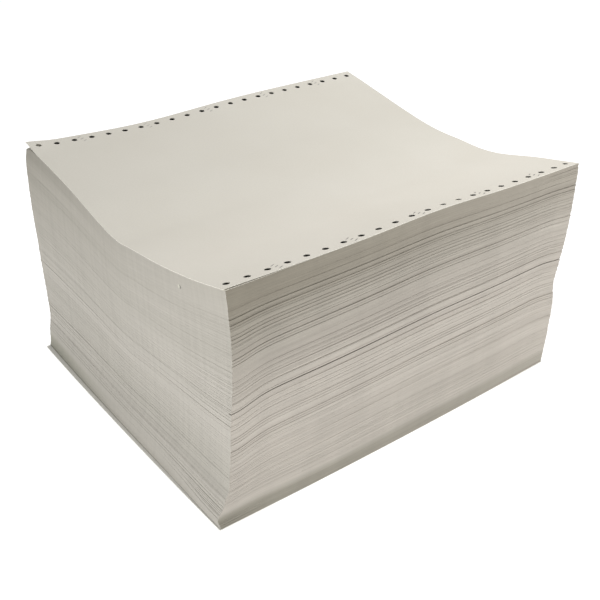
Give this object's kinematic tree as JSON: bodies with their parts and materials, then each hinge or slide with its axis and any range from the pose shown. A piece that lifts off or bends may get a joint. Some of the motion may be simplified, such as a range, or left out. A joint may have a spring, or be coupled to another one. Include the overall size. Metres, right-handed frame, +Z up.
{
  "type": "fanfold continuous form paper",
  "caption": "Folded stack of blank continuous printer paper with a row of sprocket holes along each cut edge and a dished top page.",
  "frame": {"origin": "under the middle of the stack's box, on the surface that the stack lies on", "axes": "+X from the left folds to the right folds, +Y from the front cut edges to the back cut edges, +Z up through the pages"},
  "size_m": [0.2898, 0.2482, 0.165],
  "materials": {
    "paper": "matt uncoated wood-free paper, slightly warm off-white"
  },
  "bodies": {
    "root": {"paper_stack": "paper"}
  },
  "joints": []
}
